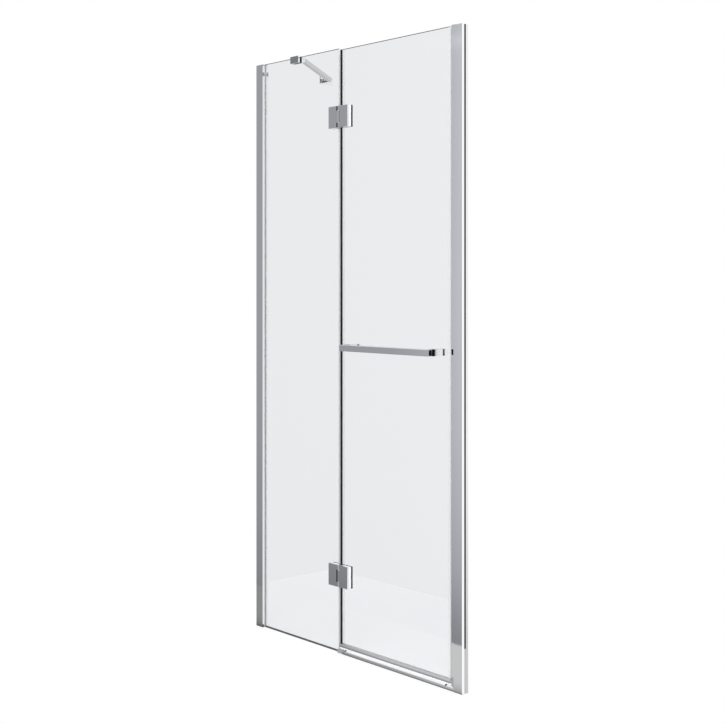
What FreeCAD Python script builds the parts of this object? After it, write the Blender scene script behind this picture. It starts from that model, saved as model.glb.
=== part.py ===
import FreeCAD, Part
import os
import re

import Sketcher

# Frameless hinged shower door: a fixed glass panel, and a glass door hung from it by two hinges.
# X runs from the left wall to the right wall, with 0 at mid width. Y is 0 at the middle of the
# glass and grows towards the inside of the shower. Z is 0 on the shower tray. Millimetres.

doc = FreeCAD.newDocument("shower_door")

# Driving dimensions.
driving = {
    # Whole door
    "opening_width": 1000,
    "frame_height": 1950,
    "glass_thickness": 6,
    "axis_from_wall": 560,  # from the strike wall, so the fixed panel takes up a wider opening
    "slide_clearance": 0.3,
    "press_clearance": 0.02,
    "screw_clearance": 0.2,
    # Wall profile of the fixed panel
    "profile_width": 36,
    "profile_depth": 25,
    "profile_wall": 2,
    "channel_wall": 2,
    "adjust_room": 4,
    "glass_lip": 10,
    "glass_edge_gap": 1,
    "gasket_thickness": 2.1,
    "cap_thickness": 2,
    "base_strip_height": 4,
    # Screws through the wall profiles, and wall screw holes
    "profile_screw_diameter": 3.5,
    "profile_screw_head": 7,
    "profile_screw_head_height": 2.2,
    "profile_screw_bite": 1,
    "profile_screw_end": 100,
    "wall_hole_diameter": 5.5,
    "wall_hole_end": 150,
    "wall_hole_pitch": 550,
    # Strike side
    "strike_channel_width": 34,
    "strike_channel_depth": 26,
    "strike_channel_web": 4,
    "wall_groove_width": 6.6,
    "wall_groove_depth": 2.5,
    "strike_front_width": 11,
    "strike_wall": 1.5,
    "strike_adjust_room": 5,
    "strike_bottom": 41,
    "strike_top_drop": 4,
    "strike_cap_width": 18,
    "carrier_width": 13.6,
    "carrier_seat": 6,
    "carrier_clearance": 0.2,
    "magnet_proud": 3.4,
    "magnet_gap": 0.6,
    "magnet_depth": 4,
    "magnet_width": 7,
    # Door panel and its edge seals
    "door_bottom": 23.5,
    "door_top_gap": 5,
    "magnet_head_depth": 6,
    "magnet_head_width": 10,
    "seal_wall": 1,
    "hinge_seal_leg": 12,
    "magnet_seal_leg": 10,
    "bulb_clearance": 0.4,
    "seal_end_gap": 1,
    "rail_overlap": 6.5,
    "rail_height": 11,
    "rail_depth": 13,
    "drip_lip": 0.5,
    "sweep_root_width": 2,
    "sweep_root_height": 1.2,
    "front_lip_reach": 8,
    "back_lip_reach": 5,
    "lip_thickness": 1,
    "sweep_clearance": 0.8,
    # Hinges
    "upper_hinge_inset": 216,
    "lower_hinge_inset": 223.5,
    "hinge_height": 70,
    "leaf_width": 47,
    "plate_thickness": 7.2,
    "hinge_gasket": 1.3,
    "knuckle_diameter": 11,
    "knuckle_height": 15,
    "knuckle_gap": 1,
    "knuckle_clearance": 2,
    "edge_clearance": 0.3,
    "back_plate_gap": 1,
    "pin_diameter": 6,
    "bush_wall": 1,
    "bush_length": 10,
    "bush_flange": 1.2,
    "bush_running_clearance": 0.05,
    "flange_clearance": 0.1,
    "clamp_screw_diameter": 5,
    "clamp_head_diameter": 10,
    "clamp_head_height": 3,
    "clamp_screw_pitch": 40,
    "clamp_screw_inset": 29,
    "clamp_front_skin": 2.2,
    "glass_hole_clearance": 3,
    # Towel bar handle
    "handle_length": 405,
    "handle_height": 20,
    "handle_depth": 15,
    "handle_reach": 60,
    "handle_level": 987,
    "handle_end_gap": 31.5,
    "handle_corner": 1.5,
    "post_width": 20,
    "washer_thickness": 1,
    "washer_inset": 0.5,
    "handle_bolt_diameter": 6,
    "handle_bolt_bite": 15,
    "sleeve_wall": 2,
    "cap_depth": 13,
    "cap_bolt_bite": 8,
    # Stay from the top of the fixed panel to the wall
    "stay_from_wall": 212,
    "stay_clamp_width": 43,
    "stay_clamp_cheek": 7.5,
    "stay_clamp_drop": 19,
    "stay_clamp_rise": 4,
    "stay_pad": 1,
    "stay_screw_diameter": 5,
    "stay_screw_pitch": 20,
    "stay_screw_level": 9,
    "stay_bar_size": 14,
    "stay_bar_below_top": 5,
    "stay_fall": 15,
    "stay_lug_reach": 15,
    "stay_pin_diameter": 5,
    "stay_pin_head": 8,
    "stay_pin_head_height": 1.5,
    "stay_setback": 276,
    "stay_wall_reach": 22,
    "stay_plate_length": 60,
    "stay_plate_height": 27,
    "stay_plate_thickness": 4,
    "stay_hole_pitch": 40,
    "stay_joint_clearance": 0.3,
    # Threshold
    "threshold_height": 14,
    "threshold_depth": 22,
    "threshold_forward": 1,
    "threshold_from_axis": 24,
    "threshold_end_overlap": 2,
    "threshold_end_height": 12,
    "threshold_screw_diameter": 5,
    "threshold_screw_end": 9,
    "threshold_screw_right_end": 36,
    "threshold_screw_forward": 6,
    "threshold_screw_sink": 3.2,
}

# Places and sizes that follow from the driving dimensions.
places = {
    "left_wall": "-opening_width / 2",
    "right_wall": "opening_width / 2",
    "glass_front": "-glass_thickness / 2",
    "glass_back": "glass_thickness / 2",
    "profile_edge": "left_wall + profile_width",
    "profile_front": "-profile_depth / 2",
    "profile_back": "profile_depth / 2",
    "profile_top": "frame_height - cap_thickness",
    "slot_front": "glass_front - gasket_thickness",
    "slot_back": "glass_back + gasket_thickness",
    "slot_floor": "profile_edge - glass_lip",
    "pocket_back": "profile_back - profile_wall",
    "pocket_floor": "slot_floor - profile_wall",
    "channel_back": "pocket_back - slide_clearance",
    "channel_reach": "pocket_floor - adjust_room",
    "profile_screw_row": "(left_wall + channel_reach) / 2",
    "profile_screw_tip": "channel_back - channel_wall - profile_screw_bite",
    "strike_channel_left": "right_wall - strike_channel_width",
    "strike_channel_back": "strike_channel_depth / 2",
    "strike_channel_inside": "strike_channel_back - channel_wall",
    "strike_web": "right_wall - strike_channel_web",
    "wall_groove_floor": "right_wall - wall_groove_depth",
    "strike_back": "strike_channel_inside - slide_clearance",
    "strike_left": "strike_channel_left - strike_front_width",
    "strike_right": "strike_web - strike_adjust_room",
    "strike_slot_floor": "strike_left + carrier_seat",
    "strike_hollow": "strike_slot_floor + strike_wall",
    "strike_screw_row": "(strike_channel_left + strike_right) / 2",
    "strike_screw_tip": "strike_back - strike_wall - profile_screw_bite",
    "strike_top": "profile_top - strike_top_drop",
    "strike_face": "strike_left - magnet_proud",
    "door_face": "strike_face - magnet_gap",
    "door_web": "door_face - magnet_head_depth",
    "door_right": "door_web - seal_wall",
    "door_top": "frame_height - door_top_gap",
    "hinge_axis": "right_wall - axis_from_wall",
    "knuckle_radius": "knuckle_diameter / 2",
    "edge_gap": "knuckle_radius + edge_clearance",
    "fixed_edge": "hinge_axis - edge_gap",
    "door_left": "hinge_axis + edge_gap",
    "leaf_gap": "knuckle_radius + knuckle_clearance",
    "leaf_inner_face": "glass_front - hinge_gasket",
    "hinge_front": "leaf_inner_face - plate_thickness",
    "back_plate_face": "glass_back + hinge_gasket",
    "hinge_back": "back_plate_face + plate_thickness",
    "axis_depth": "hinge_front + knuckle_radius",
    "pin_radius": "pin_diameter / 2",
    "bush_bore": "pin_radius + bush_running_clearance",
    "bush_radius": "bush_bore + bush_wall",
    "clamp_hole": "clamp_screw_diameter / 2 + screw_clearance",
    "clamp_glass_hole": "clamp_screw_diameter / 2 + glass_hole_clearance",
    "upper_hinge": "door_top - upper_hinge_inset",
    "lower_hinge": "door_bottom + lower_hinge_inset",
    "seal_outside": "glass_back + seal_wall",
    "hinge_seal_web": "door_left - seal_wall",
    "hinge_seal_end": "door_left + hinge_seal_leg",
    "bulb_left": "fixed_edge + bulb_clearance",
    "bulb_back": "glass_back - bulb_clearance",
    "magnet_seal_end": "door_right - magnet_seal_leg",
    "rail_top": "door_bottom + rail_overlap",
    "rail_bottom": "rail_top - rail_height",
    "lip_bottom": "threshold_height + sweep_clearance",
    "sweep_fork": "rail_bottom - sweep_root_height",
    "handle_right": "door_right - handle_end_gap",
    "handle_left": "handle_right - handle_length",
    "handle_low": "handle_level - handle_height / 2",
    "handle_high": "handle_level + handle_height / 2",
    "bar_front": "glass_front - handle_reach",
    "bar_back": "bar_front + handle_depth",
    "post_end": "glass_front - washer_thickness",
    "cap_start": "glass_back + washer_thickness",
    "bolt_radius": "handle_bolt_diameter / 2",
    "sleeve_radius": "bolt_radius + screw_clearance + sleeve_wall",
    "stay_middle": "left_wall + stay_from_wall",
    "stay_slot_front": "glass_front - stay_pad",
    "stay_slot_back": "glass_back + stay_pad",
    "stay_clamp_front": "stay_slot_front - stay_clamp_cheek",
    "stay_clamp_back": "stay_slot_back + stay_clamp_cheek",
    "stay_clamp_low": "frame_height - stay_clamp_drop",
    "stay_clamp_high": "frame_height + stay_clamp_rise",
    "stay_half": "stay_bar_size / 2",
    "stay_level": "frame_height - stay_bar_below_top",
    "stay_wall_level": "stay_level - stay_fall",
    "stay_pivot": "stay_clamp_back + stay_lug_reach",
    "stay_wall_pivot": "left_wall + stay_wall_reach",
    "stay_wall_depth": "stay_pivot + stay_setback",
    "stay_run": "stay_wall_pivot - stay_middle",
    "stay_length": "sqrt(stay_run * stay_run + stay_setback * stay_setback)",
    "stay_plate_low": "stay_wall_level - stay_plate_height / 2",
    "threshold_half": "threshold_depth / 2",
    "threshold_arc": "(threshold_half * threshold_half + threshold_height * threshold_height)"
                     " / (2 * threshold_height)",
    "threshold_left": "hinge_axis + threshold_from_axis",
}

sheet = doc.addObject("Spreadsheet::Sheet", "sizes")
for row, (alias, value) in enumerate(driving.items(), start=1):
    sheet.set(f"A{row}", alias)
    sheet.set(f"B{row}", str(value))
    sheet.setAlias(f"B{row}", alias)
doc.recompute()

pieces = []
turns = {
    "x": FreeCAD.Rotation(FreeCAD.Vector(0, 1, 0), 90),
    "y": FreeCAD.Rotation(FreeCAD.Vector(1, 0, 0), -90),
    "z": FreeCAD.Rotation(),
}


def formula(text):
    def spell(found):
        name = found.group()
        if name in driving:
            return f"sizes.{name}"
        if name in places:
            return f"({formula(places[name])})"
        return name
    return re.sub(r"[a-z_]+", spell, str(text))


def bind(thing, path, text):
    thing.setExpression(path, formula(text))


def place(thing, x, y, z):
    for axis, text in zip("xyz", (x, y, z)):
        bind(thing, f"Placement.Base.{axis}", text)


def block(x, y, z):
    box = doc.addObject("Part::Box", "block")
    for size, (low, high) in zip(("Length", "Width", "Height"), (x, y, z)):
        bind(box, size, f"({high}) - ({low})")
    place(box, x[0], y[0], z[0])
    return box


def rod(axis, radius, low, high, across, along):
    """Cylinder along an axis; across and along place the other two axes in their order."""
    cylinder = doc.addObject("Part::Cylinder", "rod")
    cylinder.Placement = FreeCAD.Placement(FreeCAD.Vector(), turns[axis])
    bind(cylinder, "Radius", radius)
    bind(cylinder, "Height", f"({high}) - ({low})")
    centre = {"x": (low, across, along), "y": (across, low, along), "z": (across, along, low)}
    place(cylinder, *centre[axis])
    return cylinder


def join(*shapes):
    whole = doc.addObject("Part::MultiFuse", "join")
    whole.Shapes = list(shapes)
    whole.Refine = True
    return whole


def cut(base, *tools):
    rest = doc.addObject("Part::Cut", "cut")
    rest.Base = base
    rest.Tool = tools[0] if len(tools) == 1 else join(*tools)
    return rest


def overlap(base, tool):
    common = doc.addObject("Part::Common", "overlap")
    common.Base = base
    common.Tool = tool
    return common


def group(*shapes):
    several = doc.addObject("Part::Compound", "group")
    several.Links = list(shapes)
    return several


def ring(axis, outer, inner, low, high, across, along):
    return cut(rod(axis, outer, low, high, across, along),
               rod(axis, inner, low, high, across, along))


def extrusion(plane, outline, low, high):
    """Straight profile: a closed outline drawn on an origin plane and padded between two places."""
    body = doc.addObject("PartDesign::Body", "profile")
    sketch = body.newObject("Sketcher::SketchObject", "outline")
    support = [feature for feature in body.Origin.OriginFeatures if feature.Role == plane][0]
    sketch.AttachmentSupport = [(support, "")]
    sketch.MapMode = "FlatFace"
    rough = [tuple(doc.sizes.evalExpression(formula(text)) for text in point) for point in outline]
    corners = [FreeCAD.Vector(float(across), float(along), 0) for across, along in rough]
    count = len(corners)
    for number, corner in enumerate(corners):
        sketch.addGeometry(Part.LineSegment(corner, corners[(number + 1) % count]), False)
    for number in range(count):
        following = (number + 1) % count
        sketch.addConstraint(Sketcher.Constraint("Coincident", number, 2, following, 1))
    for number, (point, corner) in enumerate(zip(outline, corners)):
        for kind, text, amount in zip(("DistanceX", "DistanceY"), point, (corner.x, corner.y)):
            held = sketch.addConstraint(Sketcher.Constraint(kind, -1, 1, number, 1, amount))
            bind(sketch, f"Constraints[{held}]", text)
    pad = body.newObject("PartDesign::Pad", "pad")
    pad.Profile = sketch
    bind(pad, "Length", f"({high}) - ({low})")
    along = {"XY_Plane": "z", "YZ_Plane": "x"}[plane]
    bind(body, f"Placement.Base.{along}", low)
    return body


def piece(label, thing):
    thing.Label = label
    pieces.append(thing)
    return thing


def mirror_outline(half):
    """Closes an outline that is the same in front of and behind the middle of the glass."""
    return half + [(across, f"-({along})") for across, along in reversed(half)]


def soften(body, radius):
    doc.recompute()
    solid = body.Tip
    fillet = body.newObject("PartDesign::Fillet", "soft_edges")
    fillet.Base = (solid, ["Edge1"])
    fillet.UseAllEdges = True
    bind(fillet, "Radius", radius)
    return body


def wall_holes(low, high):
    top = "profile_top - wall_hole_end"
    levels = ("wall_hole_end", "wall_hole_end + wall_hole_pitch", f"{top} - wall_hole_pitch", top)
    return [rod("x", "wall_hole_diameter / 2", low, high, "0", level) for level in levels]


profile_screw_levels = ("profile_screw_end", "frame_height / 2", "profile_top - profile_screw_end")


def profile_screws(face, tip, row):
    screws = []
    for level in profile_screw_levels:
        head = rod("y", "profile_screw_head / 2", face, f"{face} + profile_screw_head_height", row, level)
        shank = rod("y", "profile_screw_diameter / 2", tip, face, row, level)
        screws.append(join(head, shank))
    return group(*screws)


def profile_screw_holes(face, tip, row):
    radius = "profile_screw_diameter / 2 + screw_clearance"
    return [rod("y", radius, tip, face, row, level) for level in profile_screw_levels]


# Fixed panel and the profile that holds it to the left wall.
def make_fixed_side():
    screw_line = ("profile_back", "profile_screw_tip", "profile_screw_row")
    channel = extrusion("XY_Plane", mirror_outline([
        ("left_wall + channel_wall", "channel_back - channel_wall"),
        ("channel_reach", "channel_back - channel_wall"),
        ("channel_reach", "channel_back"),
        ("left_wall", "channel_back"),
    ]), "0", "profile_top")
    piece("left_wall_channel", cut(
        channel, *profile_screw_holes(*screw_line), *wall_holes("left_wall", "channel_reach")))
    glazing = extrusion("XY_Plane", mirror_outline([
        ("pocket_floor", "pocket_back"),
        ("left_wall", "pocket_back"),
        ("left_wall", "profile_back"),
        ("profile_edge", "profile_back"),
        ("profile_edge", "slot_back"),
        ("slot_floor", "slot_back"),
    ]), "0", "profile_top")
    piece("left_glazing_profile", cut(glazing, *profile_screw_holes(*screw_line)))
    piece("left_profile_screws", profile_screws(*screw_line))
    slot = ("slot_floor", "profile_edge")
    piece("left_gaskets", group(
        block(slot, ("slot_front", "glass_front"), ("0", "profile_top")),
        block(slot, ("glass_back", "slot_back"), ("0", "profile_top"))))
    piece("left_profile_cap", cut(
        block(("left_wall", "profile_edge"), ("profile_front", "profile_back"),
              ("profile_top", "frame_height")),
        block(slot, ("glass_front - slide_clearance", "glass_back + slide_clearance"),
              ("profile_top", "frame_height"))))
    pane = block(("slot_floor + glass_edge_gap", "fixed_edge"), ("glass_front", "glass_back"),
                 ("base_strip_height", "frame_height"))
    piece("fixed_glass", cut(pane, *clamp_glass_holes("fixed")))
    piece("fixed_glass_base_strip", block(
        ("profile_edge", "fixed_edge"), ("glass_front", "glass_back"), ("0", "base_strip_height")))


# Hinges. Each has a leaf clamped to the fixed glass and a leaf clamped to the door glass.
hinges = {"upper": "upper_hinge", "lower": "lower_hinge"}


def beside(side, near, far):
    if side == "fixed":
        return f"hinge_axis - ({far})", f"hinge_axis - ({near})"
    return f"hinge_axis + ({near})", f"hinge_axis + ({far})"


def clamp_spots(side, centre):
    column = beside(side, "clamp_screw_inset", "clamp_screw_inset")[0]
    return [(column, f"{centre} - clamp_screw_pitch / 2"), (column, f"{centre} + clamp_screw_pitch / 2")]


def clamp_glass_holes(side):
    return [rod("y", "clamp_glass_hole", "glass_front", "glass_back", *spot)
            for centre in hinges.values() for spot in clamp_spots(side, centre)]


def make_leaf(side, span, zones, bore, spots):
    depth = ("hinge_front", "leaf_inner_face")
    solids = [block(beside(side, "leaf_gap", "leaf_width"), depth, span)]
    for zone in zones:
        solids.append(block(beside(side, "0", "leaf_gap"), depth, zone))
        solids.append(rod("z", "knuckle_radius", *zone, "hinge_axis", "axis_depth"))
    holes = [rod("z", bore, *span, "hinge_axis", "axis_depth")]
    for spot in spots:
        holes.append(rod("y", "clamp_hole", "hinge_front + clamp_front_skin", "leaf_inner_face", *spot))
    return cut(join(*solids), *holes)


def make_clamp(name, side, span, spots):
    plate = block(beside(side, "back_plate_gap", "leaf_width"), ("back_plate_face", "hinge_back"), span)
    head_seat = "hinge_back - clamp_head_height"
    holes = []
    screws = []
    for spot in spots:
        holes.append(rod("y", "clamp_hole", "back_plate_face", "hinge_back", *spot))
        holes.append(rod("y", "clamp_head_diameter / 2 + screw_clearance", head_seat, "hinge_back", *spot))
        screws.append(join(
            rod("y", "clamp_screw_diameter / 2", "hinge_front + clamp_front_skin", head_seat, *spot),
            rod("y", "clamp_head_diameter / 2", head_seat, "hinge_back", *spot)))
    piece(f"{name}_hinge_{side}_back_plate", cut(plate, *holes))
    piece(f"{name}_hinge_{side}_screws", group(*screws))
    gaskets = []
    for depth in (("leaf_inner_face", "glass_front"), ("glass_back", "back_plate_face")):
        sheet_gasket = block(beside(side, "leaf_gap", "leaf_width"), depth, span)
        gaskets.append(cut(sheet_gasket, *[rod("y", "clamp_hole", *depth, *spot) for spot in spots]))
    piece(f"{name}_hinge_{side}_gaskets", group(*gaskets))


def make_bush(face, direction):
    """Flanged bush in a door knuckle; its flange stands off the face in the given direction."""
    flange_end = f"{face} {direction} (knuckle_gap - flange_clearance)"
    sleeve_end = f"{face} {direction} (-bush_length)"
    bottom, top = (sleeve_end, flange_end) if direction == "+" else (flange_end, sleeve_end)
    flange = (face, flange_end) if direction == "+" else (flange_end, face)
    solid = join(rod("z", "bush_radius", bottom, top, "hinge_axis", "axis_depth"),
                 rod("z", "bush_radius + bush_flange", *flange, "hinge_axis", "axis_depth"))
    return cut(solid, rod("z", "bush_bore", bottom, top, "hinge_axis", "axis_depth"))


def make_hinge(name, centre, middle_side):
    low = f"{centre} - hinge_height / 2"
    high = f"{centre} + hinge_height / 2"
    span = (low, high)
    lower_face = f"{low} + knuckle_height"
    upper_face = f"{high} - knuckle_height"
    middle = (f"{lower_face} + knuckle_gap", f"{upper_face} - knuckle_gap")
    outer = [(low, lower_face), (upper_face, high)]
    if middle_side == "door":
        zones = {"door": [middle], "fixed": outer}
        bushes = [make_bush(middle[0], "-"), make_bush(middle[1], "+")]
    else:
        zones = {"door": outer, "fixed": [middle]}
        bushes = [make_bush(lower_face, "+"), make_bush(upper_face, "-")]
    bores = {"door": "bush_radius + press_clearance", "fixed": "pin_radius + press_clearance"}
    for side in ("fixed", "door"):
        spots = clamp_spots(side, centre)
        piece(f"{name}_hinge_{side}_leaf", make_leaf(side, span, zones[side], bores[side], spots))
        make_clamp(name, side, span, spots)
    piece(f"{name}_hinge_pin", rod("z", "pin_radius", *span, "hinge_axis", "axis_depth"))
    piece(f"{name}_hinge_bushes", group(*bushes))


# Door panel with its edge seals and bottom rail.
def make_door():
    pane = block(("door_left", "door_right"), ("glass_front", "glass_back"), ("door_bottom", "door_top"))
    handle_holes = [rod("y", "sleeve_radius", "glass_front", "glass_back", *spot) for spot in post_spots]
    piece("door_glass", cut(pane, *clamp_glass_holes("door"), *handle_holes))
    seal_outline = mirror_outline([
        ("bulb_left", "bulb_back"),
        ("hinge_seal_web", "bulb_back"),
        ("hinge_seal_web", "seal_outside"),
        ("hinge_seal_end", "seal_outside"),
        ("hinge_seal_end", "glass_back"),
        ("door_left", "glass_back"),
    ])
    clear = "hinge_height / 2 + seal_end_gap"
    stretches = [
        ("rail_top", f"lower_hinge - ({clear})"),
        (f"lower_hinge + {clear}", f"upper_hinge - ({clear})"),
        (f"upper_hinge + {clear}", "door_top"),
    ]
    piece("hinge_edge_seal", group(*[extrusion("XY_Plane", seal_outline, *ends) for ends in stretches]))
    piece("magnet_edge_seal", extrusion("XY_Plane", mirror_outline([
        ("door_face - magnet_depth", "magnet_width / 2"),
        ("door_face", "magnet_width / 2"),
        ("door_face", "magnet_head_width / 2"),
        ("door_web", "magnet_head_width / 2"),
        ("door_web", "seal_outside"),
        ("magnet_seal_end", "seal_outside"),
        ("magnet_seal_end", "glass_back"),
        ("door_right", "glass_back"),
    ]), "rail_top", "door_top"))
    piece("door_magnet", block(
        ("door_face - magnet_depth", "door_face"), ("-magnet_width / 2", "magnet_width / 2"),
        ("rail_top", "door_top")))
    shell = [
        ("rail_depth / 2", "rail_bottom"),
        ("rail_depth / 2", "rail_top"),
    ]
    nose = [
        ("-rail_depth / 2", "rail_top"),
        ("-rail_depth / 2 - drip_lip", "rail_bottom"),
    ]
    glass_slot = [
        ("glass_back", "rail_top"),
        ("glass_back", "door_bottom"),
        ("glass_front", "door_bottom"),
        ("glass_front", "rail_top"),
    ]
    piece("drip_rail", extrusion("YZ_Plane", shell + glass_slot + nose, "door_left", "door_right"))
    piece("drip_rail_end_caps", group(
        extrusion("YZ_Plane", shell + nose, "hinge_axis", "door_left"),
        extrusion("YZ_Plane", shell + nose, "door_right", "door_face")))
    piece("sweep_blade", extrusion("YZ_Plane", [
        ("sweep_root_width / 2", "rail_bottom"),
        ("back_lip_reach", "lip_bottom"),
        ("back_lip_reach - lip_thickness", "lip_bottom"),
        ("sweep_root_width / 4", "sweep_fork"),
        ("-sweep_root_width / 4", "sweep_fork"),
        ("lip_thickness - front_lip_reach", "lip_bottom"),
        ("-front_lip_reach", "lip_bottom"),
        ("-sweep_root_width / 2", "rail_bottom"),
    ], "door_left", "door_right"))


# Towel bar handle outside the door, with caps inside.
post_spots = [
    ("handle_left + post_width / 2", "handle_level"),
    ("handle_right - post_width / 2", "handle_level"),
]


def make_handle():
    bar = extrusion("YZ_Plane", [
        ("bar_front", "handle_low"),
        ("bar_back", "handle_low"),
        ("bar_back", "handle_high"),
        ("bar_front", "handle_high"),
    ], "handle_left", "handle_right")
    piece("handle_bar", soften(bar, "handle_corner"))
    height = ("handle_low", "handle_high")
    bolt_start = "post_end - handle_bolt_bite"
    bolt_end = "cap_start + cap_bolt_bite"
    washers = []
    sleeves = []
    bolts = []
    caps = []
    for side, spot in zip(("left", "right"), post_spots):
        width = (f"{spot[0]} - post_width / 2", f"{spot[0]} + post_width / 2")
        post = block(width, ("bar_back", "post_end"), height)
        bolt_hole = rod("y", "bolt_radius + screw_clearance", bolt_start, bolt_end, *spot)
        piece(f"handle_post_{side}", cut(post, bolt_hole))
        bolts.append(rod("y", "bolt_radius", bolt_start, bolt_end, *spot))
        sleeves.append(ring("y", "sleeve_radius", "bolt_radius + screw_clearance",
                            "glass_front", "glass_back", *spot))
        caps.append(cut(block(width, ("cap_start", "cap_start + cap_depth"), height),
                        rod("y", "bolt_radius + screw_clearance", bolt_start, bolt_end, *spot)))
        inside = (f"{width[0]} + washer_inset", f"{width[1]} - washer_inset")
        tall = ("handle_low + washer_inset", "handle_high - washer_inset")
        for depth in (("post_end", "glass_front"), ("glass_back", "cap_start")):
            hole = rod("y", "bolt_radius + screw_clearance", *depth, *spot)
            washers.append(cut(block(inside, depth, tall), hole))
    piece("handle_washers", group(*washers))
    piece("handle_sleeves", group(*sleeves))
    piece("handle_bolts", group(*bolts))
    piece("handle_inner_caps", group(*caps))


# Strike side: wall channel, sliding strike profile and its magnet.
def make_strike_side():
    screw_line = ("strike_channel_back", "strike_screw_tip", "strike_screw_row")
    channel = extrusion("XY_Plane", mirror_outline([
        ("strike_web", "strike_channel_inside"),
        ("strike_channel_left", "strike_channel_inside"),
        ("strike_channel_left", "strike_channel_back"),
        ("right_wall", "strike_channel_back"),
        ("right_wall", "wall_groove_width / 2"),
        ("wall_groove_floor", "wall_groove_width / 2"),
    ]), "0", "strike_top")
    piece("right_wall_channel", cut(
        channel, *profile_screw_holes(*screw_line), *wall_holes("strike_web", "right_wall")))
    strike = extrusion("XY_Plane", mirror_outline([
        ("strike_hollow", "strike_back - strike_wall"),
        ("strike_right", "strike_back - strike_wall"),
        ("strike_right", "strike_back"),
        ("strike_left", "strike_back"),
        ("strike_left", "carrier_width / 2 + carrier_clearance"),
        ("strike_slot_floor", "carrier_width / 2 + carrier_clearance"),
    ]), "strike_bottom", "strike_top")
    piece("strike_profile", cut(strike, *profile_screw_holes(*screw_line)))
    piece("strike_profile_screws", profile_screws(*screw_line))
    piece("strike_magnet_carrier", extrusion("XY_Plane", mirror_outline([
        ("strike_face + magnet_depth", "magnet_width / 2"),
        ("strike_face", "magnet_width / 2"),
        ("strike_face", "carrier_width / 2"),
        ("strike_slot_floor", "carrier_width / 2"),
    ]), "strike_bottom", "strike_top"))
    piece("strike_magnet", block(
        ("strike_face", "strike_face + magnet_depth"), ("-magnet_width / 2", "magnet_width / 2"),
        ("strike_bottom", "strike_top")))
    width = ("-strike_back", "strike_back")
    piece("strike_cap", block(
        ("strike_left", "strike_left + strike_cap_width"), width,
        ("strike_top", "strike_top + cap_thickness")))
    piece("strike_foot", block(
        ("strike_left", "strike_right"), width, ("threshold_height", "strike_bottom")))


# Stay that braces the top of the fixed panel to the left wall.
def stay_lug(x, y, level, *pivot):
    height = (f"{level} - stay_half", level)
    return join(block(x, y, height), rod("z", "stay_half", *height, *pivot))


def stay_pin_hole(level, *pivot):
    height = (f"{level} - stay_half", f"{level} + stay_half")
    return rod("z", "stay_pin_diameter / 2 + press_clearance", *height, *pivot)


def stay_pin(level, *pivot):
    top = f"{level} + stay_half"
    return join(
        rod("z", "stay_pin_diameter / 2", f"{level} - stay_half", top, *pivot),
        rod("z", "stay_pin_head / 2", top, f"{top} + stay_pin_head_height", *pivot))


def make_stay():
    width = ("stay_middle - stay_clamp_width / 2", "stay_middle + stay_clamp_width / 2")
    slot = ("stay_slot_front", "stay_slot_back")
    slot_height = ("stay_clamp_low", "frame_height + stay_pad")
    shell = cut(block(width, ("stay_clamp_front", "stay_clamp_back"), ("stay_clamp_low", "stay_clamp_high")),
                block(width, slot, slot_height))
    pivot = ("stay_level", "stay_middle", "stay_pivot")
    lug = stay_lug(
        ("stay_middle - stay_half", "stay_middle + stay_half"), ("stay_clamp_back", "stay_pivot"), *pivot)
    level = "stay_clamp_low + stay_screw_level"
    spots = [("stay_middle - stay_screw_pitch / 2", level), ("stay_middle + stay_screw_pitch / 2", level)]
    reach = ("stay_slot_back", "stay_clamp_back")
    screw_holes = [rod("y", "stay_screw_diameter / 2 + screw_clearance", *reach, *spot) for spot in spots]
    piece("stay_clamp", cut(join(shell, lug), stay_pin_hole(*pivot), *screw_holes))
    piece("stay_clamp_screws", group(*[rod("y", "stay_screw_diameter / 2", *reach, *spot) for spot in spots]))
    piece("stay_clamp_pads", cut(
        block(width, slot, slot_height),
        block(width, ("glass_front", "glass_back"), ("stay_clamp_low", "frame_height"))))
    piece("stay_clamp_pin", stay_pin(*pivot))

    # The bar is drawn along Y from its clamp pivot, falling to the wall, then swung to the wall pivot.
    across = ("-stay_half", "stay_half")
    near = "stay_half + stay_joint_clearance"
    far = f"stay_length - ({near})"
    tongues = [
        (("0", near), ("0", "stay_half"), "0"),
        ((far, "stay_length"), ("-stay_fall", "stay_half - stay_fall"), "stay_length"),
    ]
    solids = [extrusion("YZ_Plane", [
        (near, "-stay_half"),
        (far, "-stay_half - stay_fall"),
        (far, "stay_half - stay_fall"),
        (near, "stay_half"),
    ], *across)]
    holes = []
    for along, height, end in tongues:
        solids.append(block(across, along, height))
        solids.append(rod("z", "stay_half", *height, "0", end))
        holes.append(rod("z", "stay_pin_diameter / 2 + press_clearance", *height, "0", end))
    bar = piece("stay_bar", cut(join(*solids), *holes))
    bar.Placement = FreeCAD.Placement(FreeCAD.Vector(), FreeCAD.Rotation(FreeCAD.Vector(0, 0, 1), 90))
    bind(bar, "Placement.Rotation.Angle", "atan2(-(stay_run); stay_setback)")
    place(bar, "stay_middle", "stay_pivot", "stay_level")

    plate = block(
        ("left_wall", "left_wall + stay_plate_thickness"),
        ("stay_wall_depth - stay_plate_length / 2", "stay_wall_depth + stay_plate_length / 2"),
        ("stay_plate_low", "stay_plate_low + stay_plate_height"))
    wall_pivot = ("stay_wall_level", "stay_wall_pivot", "stay_wall_depth")
    wall_lug = stay_lug(
        ("left_wall + stay_plate_thickness", "stay_wall_pivot"),
        ("stay_wall_depth - stay_half", "stay_wall_depth + stay_half"), *wall_pivot)
    plate_holes = [rod("x", "wall_hole_diameter / 2", "left_wall", "left_wall + stay_plate_thickness",
                       f"stay_wall_depth {way} stay_hole_pitch / 2", "stay_wall_level") for way in "-+"]
    piece("stay_wall_bracket", cut(join(plate, wall_lug), stay_pin_hole(*wall_pivot), *plate_holes))
    piece("stay_bracket_pin", stay_pin(*wall_pivot))


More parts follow.
